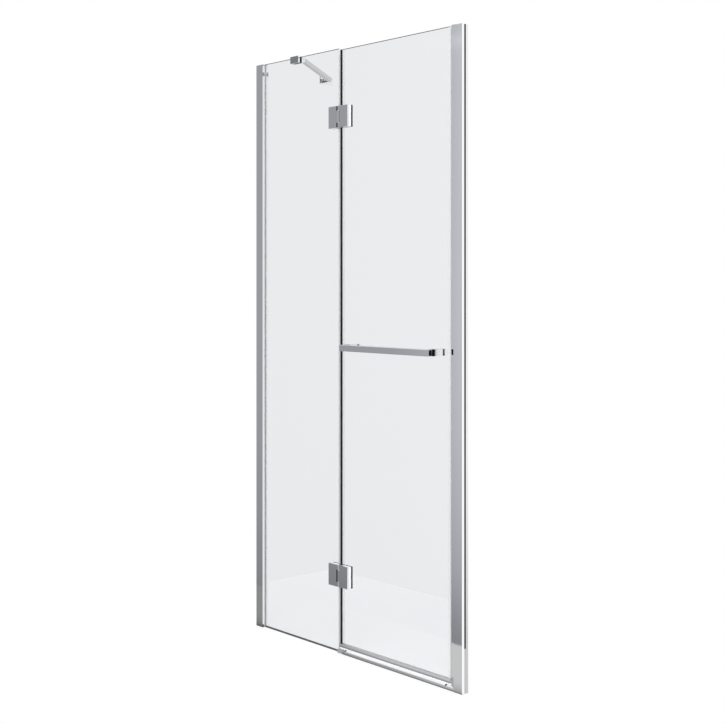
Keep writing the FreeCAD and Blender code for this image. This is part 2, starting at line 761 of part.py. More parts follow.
# Threshold under the door.
def make_threshold():
    length = ("threshold_left", "strike_channel_left")
    depth = ("-threshold_forward - threshold_half", "-threshold_forward + threshold_half")
    round_bar = rod("x", "threshold_arc", *length, "-threshold_forward", "threshold_height - threshold_arc")
    bar = overlap(block(length, depth, ("0", "threshold_height")), round_bar)
    row = "-threshold_forward - threshold_screw_forward"
    spots = [("threshold_left + threshold_screw_end", row),
             ("strike_channel_left - threshold_screw_right_end", row)]
    holes = [rod("z", "threshold_screw_diameter / 2 + screw_clearance", "0", "threshold_height", *spot)
             for spot in spots]
    piece("threshold_bar", cut(bar, *holes))
    piece("threshold_screws", group(*[
        rod("z", "threshold_screw_diameter / 2", "0", "threshold_height - threshold_screw_sink", *spot)
        for spot in spots]))
    piece("threshold_end", block(
        ("hinge_axis - threshold_end_overlap", "threshold_left"), depth, ("0", "threshold_end_height")))


make_fixed_side()
make_hinge("upper", hinges["upper"], "fixed")
make_hinge("lower", hinges["lower"], "door")
make_door()
make_handle()
make_strike_side()
make_stay()
make_threshold()
doc.recompute()

failed = [thing.Label for thing in doc.Objects if {"Invalid", "Error"} & set(thing.State)]
failed += [thing.Label for thing in pieces if thing.Shape.isNull() or not thing.Shape.isValid()]
if failed:
    raise RuntimeError(f"not built: {sorted(set(failed))}")

os.makedirs("parts", exist_ok=True)
for thing in pieces:
    thing.Shape.exportStep(f"parts/{thing.Label}.step")
    print(f"{thing.Label}: {len(thing.Shape.Solids)} solids, {thing.Shape.Volume:.1f} mm3")
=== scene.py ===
import math

import bmesh
import bpy
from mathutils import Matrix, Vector


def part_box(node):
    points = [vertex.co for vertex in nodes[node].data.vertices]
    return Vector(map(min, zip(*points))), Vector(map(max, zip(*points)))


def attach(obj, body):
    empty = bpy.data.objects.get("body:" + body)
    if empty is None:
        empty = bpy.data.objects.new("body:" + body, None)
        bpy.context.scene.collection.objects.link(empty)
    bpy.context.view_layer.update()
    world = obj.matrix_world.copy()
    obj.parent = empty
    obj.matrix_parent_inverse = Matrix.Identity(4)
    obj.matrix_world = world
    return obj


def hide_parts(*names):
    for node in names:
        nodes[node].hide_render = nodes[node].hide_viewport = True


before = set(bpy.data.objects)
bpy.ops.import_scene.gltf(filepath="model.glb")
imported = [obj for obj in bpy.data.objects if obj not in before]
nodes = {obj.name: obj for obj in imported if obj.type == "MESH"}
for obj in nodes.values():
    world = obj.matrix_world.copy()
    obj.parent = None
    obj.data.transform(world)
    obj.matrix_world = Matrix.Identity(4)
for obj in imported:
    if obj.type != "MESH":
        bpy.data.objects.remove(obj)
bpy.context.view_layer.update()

mm = 0.001
scene = bpy.context.scene
scene.view_settings.view_transform = "Standard"
print("frame loaded:", len(nodes), "nodes")


class Wire:  # one output socket, so that shader maths reads as plain expressions
    def __init__(self, finish, socket):
        self.finish = finish
        self.socket = socket

    def maths(self, operation, first, second):
        return self.finish.node("ShaderNodeMath", {"operation": operation}, {0: first, 1: second})

    def __add__(self, other):
        return self.maths("ADD", self, other)

    def __radd__(self, other):
        return self.maths("ADD", other, self)

    def __sub__(self, other):
        return self.maths("SUBTRACT", self, other)

    def __rsub__(self, other):
        return self.maths("SUBTRACT", other, self)

    def __mul__(self, other):
        return self.maths("MULTIPLY", self, other)

    def __rmul__(self, other):
        return self.maths("MULTIPLY", other, self)

    def __pow__(self, other):
        return self.maths("POWER", self, other)

    def __gt__(self, other):
        return self.maths("GREATER_THAN", self, other)

    def __lt__(self, other):
        return self.maths("LESS_THAN", self, other)

    def __abs__(self):
        return self.maths("ABSOLUTE", self, 0)

    def along(self, low, high):  # 0 at low and 1 at high
        return (self - low) * (1 / (high - low))

    def vary(self, low, more):  # low, and up to so much more
        return low + self * more


class Finish:  # a node tree under construction
    def __init__(self, owner):
        self.owner = owner
        owner.use_nodes = True
        self.tree = owner.node_tree
        self.tree.nodes.clear()

    def node(self, kind, settings=None, sockets=None, out=0):
        made = self.tree.nodes.new(kind)
        for key, value in (settings or {}).items():
            if key == "stops":
                self.setStops(made.color_ramp, value)
            else:
                setattr(made, key, value)
        for key, value in (sockets or {}).items():
            if isinstance(value, Wire):
                self.tree.links.new(value.socket, made.inputs[key])
            else:
                made.inputs[key].default_value = value
        return Wire(self, made.outputs[out]) if made.outputs else None

    def setStops(self, ramp, stops):
        while len(ramp.elements) < len(stops):
            ramp.elements.new(1)
        for element, (place, level) in zip(ramp.elements, stops):
            element.position = place
            element.color = (*level, 1)

    def place(self, axis=None):  # metres in the part's own frame
        point = self.node("ShaderNodeTexCoord", out="Object")
        return point if axis is None else self.node("ShaderNodeSeparateXYZ", None, {0: point}, axis)

    def facing(self, axis):  # how far a surface faces along an axis, from -1 to 1
        normal = self.node("ShaderNodeTexCoord", out="Normal")
        return self.node("ShaderNodeSeparateXYZ", None, {0: normal}, axis)

    def grain(self, scale, stretch=(1, 1, 1), detail=3):  # noise from 0 to 1
        stretched = self.node("ShaderNodeVectorMath", {"operation": "MULTIPLY"}, {0: self.place(), 1: stretch})
        return self.node("ShaderNodeTexNoise", None, {"Vector": stretched, "Scale": scale, "Detail": detail})

    def graded(self, value, pairs, low, high, cast=(1, 1, 1)):  # a colour ramp from (place, level) pairs
        stops = [((place - low) / (high - low), [level * part for part in cast]) for place, level in pairs]
        return self.node("ShaderNodeValToRGB", {"stops": stops}, {0: value.along(low, high)})

    def blend(self, share, first, second, kind="MIX"):  # colours
        settings = {"data_type": "RGBA", "blend_type": kind}
        return self.node("ShaderNodeMix", settings, {0: share, 6: first, 7: second}, 2)

    def shade(self, first, second):  # one colour times another
        return self.blend(1, first, second, "MULTIPLY")

    def bump(self, height, strength, depth):
        return self.node("ShaderNodeBump", None, {"Height": height, "Strength": strength, "Distance": depth})

    def surface(self, sockets):
        return self.node("ShaderNodeBsdfPrincipled", None, sockets)

    def glow(self, colour):
        return self.node("ShaderNodeEmission", None, {"Color": colour})

    def mixShaders(self, share, first, second):
        return self.node("ShaderNodeMixShader", None, {0: share, 1: first, 2: second})

    def ray(self, kind):
        return self.node("ShaderNodeLightPath", out=kind)

    def close(self, shader, kind="ShaderNodeOutputMaterial"):
        self.node(kind, None, {"Surface": shader})
        return self.owner


def newFinish(name):
    return Finish(bpy.data.materials.new(name))


def grey(level):
    return (level, level, level, 1)


camera = {
    "spot": (3.0901, -2.6560, 1.1890),
    "turn": 48.9,
    "lens": 63.40,
    "sensor": 36,
    "horizon": -78 / 724,  # the view looks level and is shifted down
}


def makeCamera():
    data = bpy.data.cameras.new("camera")
    data.lens = camera["lens"]
    data.sensor_width = camera["sensor"]
    data.shift_y = camera["horizon"]
    eye = bpy.data.objects.new("camera", data)
    eye.location = camera["spot"]
    eye.rotation_euler = (math.pi / 2, 0, math.radians(camera["turn"]))
    scene.collection.objects.link(eye)
    scene.camera = eye


makeCamera()

studio = {
    "skyLevel": 0.62,  # what the sky gives to matt surfaces; the lamps give the rest
    "aim": (0, 0, 0.9),
    "lampSize": 2.4,
    "lamps": {"keyLamp": ((1.9, -2.4, 3.4), 62), "fillLamp": ((-2.2, 2.0, 3.0), 34)},
}


def makeSky():
    sky = bpy.data.worlds.new("sky")
    scene.world = sky
    tree = Finish(sky)
    shown = tree.ray("Is Camera Ray")
    for kind in ("Is Glossy Ray", "Is Transmission Ray"):
        shown = tree.node("ShaderNodeMath", {"operation": "MAXIMUM"}, {0: shown, 1: tree.ray(kind)})
    level = shown.vary(studio["skyLevel"], 1 - studio["skyLevel"])
    light = tree.node("ShaderNodeBackground", None, {"Color": grey(1), "Strength": level})
    tree.close(light, "ShaderNodeOutputWorld")


def makeLamps():
    for name, (spot, power) in studio["lamps"].items():
        data = bpy.data.lights.new(name, "AREA")
        data.size = studio["lampSize"]
        data.energy = power
        lamp = bpy.data.objects.new(name, data)
        lamp.location = spot
        lamp.rotation_euler = (Vector(studio["aim"]) - Vector(spot)).to_track_quat("-Z", "Y").to_euler()
        for kind in ("camera", "glossy", "transmission"):  # lights the door, but isn't seen in or through it
            setattr(lamp, "visible_" + kind, False)
        scene.collection.objects.link(lamp)


makeSky()
makeLamps()
print("camera, sky and lamps made")

floor = {
    "corners": ((-1.0, -0.37), (1.0, 0.75)),
    "drop": 0.0005,
    "ownLight": 0.68,  # keeps the floor white and leaves it a soft shadow
    "matt": 0.40,
    # polished metal shows it grey in front of the door, with a painted shade close to it, and white inside
    "mirrorAlong": ((-1.0, 0.26), (-0.35, 0.26), (0.10, 0.57)),
    "mirrorShadeOut": ((0.013, 0.28), (0.030, 0.68), (0.060, 0.88), (0.10, 1.0)),
    "mirrorEnd": 0.5,  # paler beyond the right wall
    "mirrorBeyond": 0.86,
}


def makeFloor():
    mesh = bpy.data.meshes.new("floor")
    (x0, y0), (x1, y1) = floor["corners"]
    mesh.from_pydata([(x0, y0, 0), (x1, y0, 0), (x1, y1, 0), (x0, y1, 0)], [], [(0, 1, 2, 3)])
    slab = bpy.data.objects.new("floor", mesh)
    slab.location.z = -floor["drop"]
    scene.collection.objects.link(slab)
    paint = newFinish("floorPaint")
    matt = paint.node("ShaderNodeBsdfDiffuse", None, {"Color": grey(floor["matt"])})
    seen = paint.node("ShaderNodeAddShader", None, {0: matt, 1: paint.glow(grey(floor["ownLight"]))})
    along = paint.graded(paint.place("X"), floor["mirrorAlong"], x0, x1)
    # painted shade on the floor close to the door, seen only in polished metal
    out = paint.graded(0 - paint.place("Y"), floor["mirrorShadeOut"], 0, 1)
    pastWall = paint.place("X") > floor["mirrorEnd"]
    before = paint.blend(pastWall, paint.shade(along, out), grey(floor["mirrorBeyond"]))
    mirrored = paint.glow(paint.blend(paint.place("Y") < 0, grey(1), before))
    inMetal = paint.ray("Is Glossy Ray") * (1 - paint.ray("Is Transmission Ray"))
    slab.data.materials.append(paint.close(paint.mixShaders(inMetal, seen, mirrored)))
    slab.visible_diffuse = False


def makeSheet(name, card):
    wide, hem, head = card["wide"], card["hem"], card["head"]
    mesh = bpy.data.meshes.new(name)
    mesh.from_pydata([(-wide, 0, hem), (wide, 0, hem), (wide, 0, head), (-wide, 0, head)], [], [(0, 1, 2, 3)])
    sheet = bpy.data.objects.new(name, mesh)
    sheet.location = card["spot"]
    sheet.rotation_euler = (math.radians(card["tilt"]), 0, math.radians(card["turn"]))
    scene.collection.objects.link(sheet)
    for kind in ("camera", "diffuse", "transmission", "volume_scatter", "shadow"):  # seen in polished metal only
        setattr(sheet, "visible_" + kind, False)
    return sheet


greyCard = {
    "spot": (-9.0125, -7.8087, 0),
    "tilt": 0,
    "turn": -48.9,
    "wide": 7.0,
    "hem": -16,
    "foot": -4.947,
    "head": 10.4,
    "fadeFrom": 4.733,  # white at the head
    "cast": (0.985, 0.995, 1.06),
    "across": ((-1.32, 0.338), (-0.66, 0.329), (0.00, 0.324), (0.55, 0.343), (1.08, 0.41), (1.23, 0.507),
               (1.32, 0.556), (2.2, 0.58)),
    "up": ((-3.30, 0.46), (-2.88, 0.58), (-2.42, 0.72), (-1.69, 0.84), (-0.70, 0.94), (0.77, 1.0), (4.04, 1.0),
           (4.16, 1.05), (4.23, 1.19), (4.28, 1.15), (4.34, 0.98), (4.44, 0.97)),
}


def makeGreyCard():  # what the front faces show
    wide, foot, head = greyCard["wide"], greyCard["foot"], greyCard["head"]
    sheet = makeSheet("greyCard", greyCard)
    paint = newFinish("greyCardPaint")
    across = paint.graded(paint.place("X"), greyCard["across"], -wide, wide, greyCard["cast"])
    up = paint.graded(paint.place("Z"), greyCard["up"], foot, head)
    fade = paint.place("Z").along(greyCard["fadeFrom"], head)
    sheet.data.materials.append(paint.close(paint.glow(paint.blend(fade, paint.shade(across, up), grey(1)))))


shadedCards = {
    "darkCard": {  # behind the camera
        "spot": (2.88, -4.57, 0),
        "tilt": 0,
        "turn": 48.9,
        "wide": 3.45,
        "hem": -8,
        "foot": -3,
        "head": 3.4,
        "tones": (0.42, 0.16),
    },
    "frontCard": {  # far in front
        "spot": (-1.5, -10, 0),
        "tilt": 0,
        "turn": 0,
        "wide": 6,
        "hem": -14,
        "foot": -4,
        "head": 9,
        "tones": (0.42, 0.62),
    },
    "leftCard": {
        "spot": (-6, 0, 0),
        "tilt": 0,
        "turn": 90,
        "wide": 3,
        "hem": -8,
        "foot": -3,
        "head": 5,
        "tones": (0.30, 0.50),
    },
    "rightCard": {
        "spot": (6, -0.2, 0),
        "tilt": 0,
        "turn": 90,
        "wide": 1.8,
        "hem": -8,
        "foot": -3,
        "head": 5,
        "tones": (0.36, 0.62),
    },
    "backCard": {  # behind the door
        "spot": (-1.9, 2.7, 0),
        "tilt": 0,
        "turn": 35,
        "wide": 1.3,
        "hem": -6,
        "foot": -0.8,
        "head": 3.6,
        "tones": (0.40, 0.82),
    },
    "topCard": {  # overhead
        "spot": (0, 0, 3),
        "tilt": 90,
        "turn": 0,
        "wide": 1.1,
        "hem": -1,
        "foot": -1,
        "head": 1,
        "tones": (0.60, 0.74),
    },
}


def makeShadedCards():  # each goes from one tone at its foot to another at its head, and has a hem below the foot
    for name, card in shadedCards.items():
        sheet = makeSheet(name, card)
        paint = newFinish(name + "Paint")
        up = paint.place("Z").along(card["foot"], card["head"])
        low, high = card["tones"]
        sheet.data.materials.append(paint.close(paint.glow(paint.blend(up, grey(low), grey(high)))))


makeFloor()
makeGreyCard()
makeShadedCards()
print("floor and reflectors made")

glass = {
    "tint": (0.934, 0.939, 0.948, 1),  # of one face; a pane has two
    "headOn": 0.04,  # share that a face mirrors, seen straight on
    "falloff": 5,
    "smear": (3.0, (1, 1, 0.6)),
    "smearRoughness": 0.012,
    "flank": 0.5,  # a face that faces the front or back less than this is an edge
    "edge": (0.95, 0.97, 0.975, 1),
    # painted shade on the ground top edges, which a real pane shows dark
    "shadedTopEdge": (0.020, 0.026, 0.028, 1),
    "sealedEdge": (0.003, 0.003, 0.004, 1),  # where the black core of the hinge seal shows through
    "sealedAt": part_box("door_glass")[0][0],
    "sealedWidth": 0.0008,
    "tops": (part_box("fixed_glass")[1][2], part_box("door_glass")[1][2]),
    "topBand": 0.0005,  # the painted shade of the ground top edge also covers this much of a face
    "ground": (900, (1, 1, 0.05)),
    "groundRoughness": (0.18, 0.12),
    "groundSpecular": 0.15,
}


def glassFinish():
    paint = newFinish("clearGlass")
    smear = paint.grain(*glass["smear"])
    clear = paint.node("ShaderNodeBsdfTransparent", None, {"Color": glass["tint"]})
    mirror = paint.surface({"Base Color": grey(1), "Metallic": 1, "Roughness": smear * glass["smearRoughness"]})
    slant = paint.node("ShaderNodeLayerWeight", out="Facing")
    share = (slant ** glass["falloff"]).vary(glass["headOn"], 1 - glass["headOn"])
    pane = paint.mixShaders(share, clear, mirror)
    ground = paint.grain(*glass["ground"])
    fixedTop, doorTop = glass["tops"]
    onDoor = paint.place("X") > glass["sealedAt"] - glass["sealedWidth"]
    atTop = paint.place("Z") > fixedTop - glass["topBand"] + onDoor * (doorTop - fixedTop)
    sealed = abs(paint.place("X") - glass["sealedAt"]) < glass["sealedWidth"]
    # painted shade on the top edges and the band below them
    tone = paint.blend(atTop, glass["edge"], glass["shadedTopEdge"])
    edge = paint.surface({
        "Base Color": paint.blend(sealed, tone, glass["sealedEdge"]),
        "Roughness": ground.vary(*glass["groundRoughness"]),
        "Specular IOR Level": glass["groundSpecular"],
    })
    flank = abs(paint.facing("Y")) < glass["flank"]
    return paint.close(paint.mixShaders(flank + atTop, pane, edge))


chrome = {
    "tone": (0.955, 0.957, 0.96, 1),
    "insideShade": (0.72, 0.725, 0.74, 1),  # painted shade on the faces to the shower; the plate is the same on both sides
    "insideFacing": 0.9,
    "stayFrontShade": (0.58, 0.585, 0.60, 1),  # painted shade on the fronts of the stay's ends
    "stayFacing": -0.5,
    "cloud": 55,
    "polish": (0.015, 0.03),
    "ripple": 420,
    "rippleDetail": 2,
    "rippleBump": (0.015, 0.0002),
}


# faces to the shower, which get a painted shade
def toInside(paint):
    return paint.facing("Y") > chrome["insideFacing"]


def chromeShader(paint, tone=chrome["tone"]):
    cloud = paint.grain(chrome["cloud"])
    ripple = paint.grain(chrome["ripple"], detail=chrome["rippleDetail"])
    return paint.surface({
        "Base Color": paint.blend(toInside(paint), tone, chrome["insideShade"]),
        "Metallic": 1,
        "Roughness": cloud.vary(*chrome["polish"]),
        "Normal": paint.bump(ripple, *chrome["rippleBump"]),
    })


def chromeFinish():
    paint = newFinish("chromePlate")
    return paint.close(chromeShader(paint))


def stayEndFinish():
    paint = newFinish("stayEndPlate")
    # painted shade on the faces to the front
    inFront = paint.facing("Y") < chrome["stayFacing"]
    return paint.close(chromeShader(paint, paint.blend(inFront, chrome["tone"], chrome["stayFrontShade"])))


black = {
    "tone": (0.003, 0.003, 0.0035, 1),
    "grain": 1200,
    "roughness": (0.55, 0.2),
    "specular": 0.1,
    "bump": (0.1, 0.0002),
}


def blackShader(paint):  # black moulded plastic, also used for painted shade and painted dark reflections on chromed parts
    moulded = paint.grain(black["grain"])
    return paint.surface({
        "Base Color": black["tone"],
        "Roughness": moulded.vary(*black["roughness"]),
        "Specular IOR Level": black["specular"],
        "Normal": paint.bump(moulded, *black["bump"]),
    })


leaf = {
    "axis": -0.06,
    "recess": 0.0075,  # metres from the hinge axis to the leaf beside a knuckle
    "reach": 0.0009,
    "facing": 0.4,
}


def leafFinish():
    paint = newFinish("hingeLeaf")
    # painted shadow: a black band on the leaf beside each knuckle stands in for the shadow in the gap there
    beside = abs(abs(paint.place("X") - leaf["axis"]) - leaf["recess"]) < leaf["reach"]
    shadowGapBand = beside * (abs(paint.facing("X")) > leaf["facing"])
    return paint.close(paint.mixShaders(shadowGapBand, chromeShader(paint), blackShader(paint)))


handle = {
    "middle": (-0.0555, 0.987),  # Y and Z of the bar
    "endShade": (0.0060, 0.0085),  # half the width and height of the black patch painted on each end, a painted dark reflection
    "endShadeFacing": 0.95,
    "collarEnd": -0.036,  # Y where the dark collar between post and bar ends
}


def handleFinish():
    paint = newFinish("handleBar")
    # painted dark reflection: a black patch on each end face of the bar
    inEndShade = abs(paint.facing("X")) > handle["endShadeFacing"]
    for axis, middle, reach in zip("YZ", handle["middle"], handle["endShade"]):
        inEndShade = inEndShade * (abs(paint.place(axis) - middle) < reach)
    return paint.close(paint.mixShaders(inEndShade, chromeShader(paint), blackShader(paint)))


def postFinish():
    paint = newFinish("handlePost")
    onCollar = paint.place("Y") < handle["collarEnd"]
    return paint.close(paint.mixShaders(onCollar, chromeShader(paint), blackShader(paint)))


profile = {
    "tone": (0.95, 0.953, 0.96, 1),
    # painted shade on the faces to the shower, as for chrome
    "insideShade": (0.68, 0.685, 0.70, 1),
    "polish": (0.025, 0.05),
    "drawn": (1500, (1, 1, 0.002), 2),  # die lines run along the length
    "drawnBump": (0.02, 0.0001),
}


def profileShader(paint, tone):
    drawn = paint.grain(*profile["drawn"])
    return paint.surface({
        "Base Color": paint.blend(toInside(paint), tone, profile["insideShade"]),
        "Metallic": 1,
        "Roughness": drawn.vary(*profile["polish"]),
        "Normal": paint.bump(drawn, *profile["drawnBump"]),
    })


def profileFinish():
    paint = newFinish("brightProfile")
    return paint.close(profileShader(paint, profile["tone"]))


channel = {
    "groove": (0.4970, 0.4980),  # X of the groove on the wall side
    "darkStreak": (-0.0006, 0.0034),  # Y of a painted dark reflection in it, in black
    "darkStreakFrom": 0.130,
    # painted shade in the groove
    "grooveShade": grey(0.68),
    "lip": 0.0034,  # painted shade on the lip behind the groove, darkest near the floor
    "lipShadeTones": (grey(0.58), grey(0.86)),
    "lipFade": (0.16, 0.70),
}


def channelFinish():
    paint = newFinish("strikeChannel")
    (near, far), (deep, shallow) = channel["darkStreak"], channel["groove"]
    inGroove = (paint.place("X") > deep) * (paint.place("X") < shallow)
    onDarkStreak = (paint.place("Z") > channel["darkStreakFrom"]) * (paint.place("Y") > near) * (paint.place("Y") < far)
    onLip = (paint.place("X") > shallow) * (paint.place("Y") > channel["lip"])
    lipShade = paint.blend(paint.place("Z").along(*channel["lipFade"]), *channel["lipShadeTones"])
    # painted shade in the groove and on the lip, and a painted dark reflection in black along the groove
    tone = paint.blend(inGroove, profile["tone"], channel["grooveShade"])
    bright = profileShader(paint, paint.blend(onLip, tone, lipShade))
    return paint.close(paint.mixShaders(inGroove * onDarkStreak, bright, blackShader(paint)))


plain = {  # what a plain finish has, unless it says otherwise
    "metallic": 0,
    "relief": 0.15,
    "depth": 0.0003,
    "extra": {},
}


def plainShader(paint, look):
    look = {**plain, **look}
    mottle = paint.grain(look["grain"])
    return paint.surface({
        "Base Color": paint.blend(mottle, *look["tones"]),
        "Metallic": look["metallic"],
        "Roughness": mottle.vary(*look["roughness"]),
        "Normal": paint.bump(mottle, look["relief"], look["depth"]),
        **look["extra"],
    })


def plainFinish(look):
    paint = newFinish(look["name"])
    return paint.close(plainShader(paint, look))


rail = {
    "slot": 0.0031,  # half the width of the lined slot that holds the glass
    "liner": {"tones": (grey(0.80), grey(0.86)), "roughness": (0.5, 0.2), "grain": 900},
    "skirt": 0.0245,  # painted shade on its lower half
    "skirtShade": (0.62, 0.63, 0.67, 1),
}


def railFinish():
    paint = newFinish("linedRail")
    # painted shade on the rail's lower half
    onSkirt = paint.place("Z") < rail["skirt"]
    bright = profileShader(paint, paint.blend(onSkirt, profile["tone"], rail["skirtShade"]))
    inSlot = abs(paint.place("Y")) < rail["slot"]
    return paint.close(paint.mixShaders(inSlot, bright, plainShader(paint, rail["liner"])))


threshold = {
    "screws": ((-27, -7), (430, -7)),  # X and Y in millimetres
    "ring": 0.0036,  # radius of the painted shade about each screw, in black, where it sits down in its hole
    "seamEnd": -0.0338,  # a dark seam beside the end block
}


def thresholdFinish():
    paint = newFinish("threshold")
    dark = paint.place("X") < threshold["seamEnd"]
    # painted shade: a black disc about each screw, sunk in its hole
    for x, y in threshold["screws"]:
        along, out = paint.place("X") - x * mm, paint.place("Y") - y * mm
        dark = dark + (along * along + out * out < threshold["ring"] ** 2)
    return paint.close(paint.mixShaders(dark, profileShader(paint, profile["tone"]), blackShader(paint)))


backPlate = {
    "coverFrom": 0.0113,  # metres behind the middle of the glass
}


def backPlateFinish():  # a black core under a chromed cover
    paint = newFinish("coveredPlate")
    covered = paint.place("Y") > backPlate["coverFrom"]
    return paint.close(paint.mixShaders(covered, blackShader(paint), chromeShader(paint)))


vinyl = {
    "tone": (0.93, 0.94, 0.95, 1),
    "body": (0.10, 0.06),
    "flow": (300, (1, 1, 0.01)),
    "roughness": (0.15, 0.15),
    "bump": (0.05, 0.0002),
}


def vinylFinish():
    paint = newFinish("clearVinyl")
    flow = paint.grain(*vinyl["flow"])
    return paint.close(paint.surface({
        "Base Color": vinyl["tone"],
        "Roughness": flow.vary(*vinyl["roughness"]),
        "Alpha": flow.vary(*vinyl["body"]),
        "Normal": paint.bump(flow, *vinyl["bump"]),
    }))


plainLooks = {
    "rubber": {
        "name": "blackRubber",
        "tones": (grey(0.004), grey(0.008)),
        "roughness": (0.5, 0.25),
        "grain": 900,
        "extra": {"Specular IOR Level": 0.2},
    },
    "greyRubber": {
        "name": "greyRubber",
        "tones": (grey(0.16), grey(0.20)),
        "roughness": (0.5, 0.2),
        "grain": 900,
    },
    "milkVinyl": {  # painted light: a glow of its own lifts the sweep lips and hinge gaskets out of their shade
        "name": "glowingMilkyVinyl",
        "tones": (grey(0.93), grey(0.97)),
        "roughness": (0.3, 0.2),
        "grain": 500,
        "extra": {"Emission Color": grey(1), "Emission Strength": 0.35},
    },
    "paleGasket": {
        "name": "paleGasket",
        "tones": (grey(0.86), grey(0.92)),
        "roughness": (0.35, 0.2),
        "grain": 900,
    },
    "magnet": {
        "name": "coatedMagnet",
        "tones": (grey(0.66), grey(0.74)),
        "roughness": (0.35, 0.2),
        "grain": 700,
    },
    "nylon": {
        "name": "whiteNylon",
        "tones": (grey(0.88), grey(0.93)),
        "roughness": (0.35, 0.15),
        "grain": 800,
    },
    "plastic": {
        "name": "greyPlastic",
        "tones": ((0.44, 0.45, 0.46, 1), (0.49, 0.50, 0.51, 1)),
        "roughness": (0.32, 0.15),
        "grain": 1200,
    },
    "steel": {
        "name": "screwSteel",
        "tones": ((0.55, 0.55, 0.56, 1), (0.62, 0.62, 0.63, 1)),
        "roughness": (0.20, 0.12),
        "grain": 600,
        "relief": 0.05,
        "metallic": 1,
    },
    # dark steel, partly its own colour and partly painted shade of the holes these screws sit in
    "darkSteel": {
        "name": "darkScrew",
        "tones": (grey(0.05), grey(0.08)),
        "roughness": (0.3, 0.15),
        "grain": 600,
        "relief": 0.05,
        "metallic": 1,
    },
}

finishes = {
    "glass": glassFinish(),
    "chrome": chromeFinish(),
    "stayEnd": stayEndFinish(),
    "profile": profileFinish(),
    "channel": channelFinish(),
    "rail": railFinish(),
    "threshold": thresholdFinish(),
    "handle": handleFinish(),
    "post": postFinish(),
    "leaf": leafFinish(),
    "backPlate": backPlateFinish(),
    "vinyl": vinylFinish(),
    **{key: plainFinish(look) for key, look in plainLooks.items()},
}
print("finishes made:", len(finishes))

softEdge = {
    "weld": 0.00001,
    "flatAngle": 1,  # degrees
    "bevelAngle": 40,
    "segments": 2,
    "creaseAngle": 35,
}


def weld(piece):
    piece.modifiers.new("weld", "WELD").merge_threshold = softEdge["weld"]


def shrink(piece, gap):
    weld(piece)
    inward = piece.modifiers.new("inward", "DISPLACE")
    inward.strength = -gap
    inward.mid_level = 0


def softenEdges(piece, width):
    weld(piece)
    flat = piece.modifiers.new("flat", "DECIMATE")
    flat.decimate_type = "DISSOLVE"
    flat.angle_limit = math.radians(softEdge["flatAngle"])
    edge = piece.modifiers.new("edge", "BEVEL")
    edge.width = width
    edge.segments = softEdge["segments"]
    edge.limit_method = "ANGLE"
    edge.angle_limit = math.radians(softEdge["bevelAngle"])
    edge.use_clamp_overlap = True
    shading = piece.modifiers.new("shading", "WEIGHTED_NORMAL")
    shading.keep_sharp = True


standIns = []  # nodes that a piece stands for


def addPiece(name, body, finishNames, shape, stoodFor=None):
    bmesh.ops.recalc_face_normals(shape, faces=shape.faces)
    mesh = bpy.data.meshes.new(name)
    shape.to_mesh(mesh)
    shape.free()
    for finish in finishNames:
        mesh.materials.append(finishes[finish])
    mesh.shade_smooth()
    mesh.set_sharp_from_angle(angle=math.radians(softEdge["creaseAngle"]))
    piece = bpy.data.objects.new(name, mesh)
    scene.collection.objects.link(piece)
    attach(piece, body)
    if stoodFor:
        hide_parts(stoodFor)
        standIns.append(stoodFor)
    return piece


def circle(radius):
    return lambda turn: radius


def hexagon(flats):
    return lambda turn: flats / 2 / math.cos((turn + math.pi / 6) % (math.pi / 3) - math.pi / 6)


def cross(reach, half):
    def outline(turn):
        off = abs((turn + math.pi / 4) % (math.pi / 2) - math.pi / 4)
        return reach / math.cos(off) if math.tan(off) * reach <= half else half / math.sin(off)
    return outline


ringSteps = 48


# a turned shape is a stack of rings, each a height and an outline in millimetres
def stackRings(shape, spot, axis, rings):
    loops = []
    for height, outline in rings:
        loop = []
        for step in range(ringSteps):
            turn = 2 * math.pi * step / ringSteps
            a, b = outline(turn) * math.cos(turn), outline(turn) * math.sin(turn)
            offset = Vector((a, height, b) if axis == "Y" else (a, b, height))
            loop.append(shape.verts.new((Vector(spot) + offset) * mm))
        loops.append(loop)
    for lower, upper in zip(loops, loops[1:]):
        for step in range(ringSteps):
            shape.faces.new((lower[step - 1], lower[step], upper[step], upper[step - 1]))
    shape.faces.new(loops[0][::-1])
    shape.faces.new(loops[-1])


def turned(height, radius, steps):  # (up, inward) steps from a height and a radius
    return [(height + up, circle(radius - inward)) for up, inward in steps]


def headed(screw, tip, seat, top):
    shank, head = screw["shank"], screw["head"]
    neck = [(seat, circle(shank)), (seat, circle(head))]
    return turned(tip, shank, screw["point"]) + neck + turned(top, head, screw["crown"])


def hexSocket(top, flats, mouth, depth, pitDepth, pitRadius):
    return [(top, hexagon(flats + mouth)), (top - mouth / 2, hexagon(flats)), (top - depth, hexagon(flats)),
            (top - depth - pitDepth, circle(pitRadius))]


def crossSlot(top, mouth, base, depth):
    return [(top, cross(*mouth)), (top - depth, cross(*base))]


def addScrews(name, body, finish, rings, spots, axis, node):
    shape = bmesh.new()
    for spot in spots:
        stackRings(shape, spot, axis, rings)
    addPiece(name, body, [finish], shape, node)


clampScrew = {
    "columns": {"fixed": ("frame", -89), "door": ("door", -31)},
    "levels": {"upper": (1709, 1749), "lower": (227, 267)},
    "tip": -9.3,
    "seat": 8.5,
    "top": 11.5,
    "shank": 2.5,
    "head": 5.0,
    "point": ((0, 0.6), (0.6, 0)),
    "crown": ((-0.4, 0), (-0.1, 0.15), (0, 0.45)),
    "socket": {"flats": 4.0, "mouth": 0.5, "depth": 2.2, "pitDepth": 0.5, "pitRadius": 0.5},
}


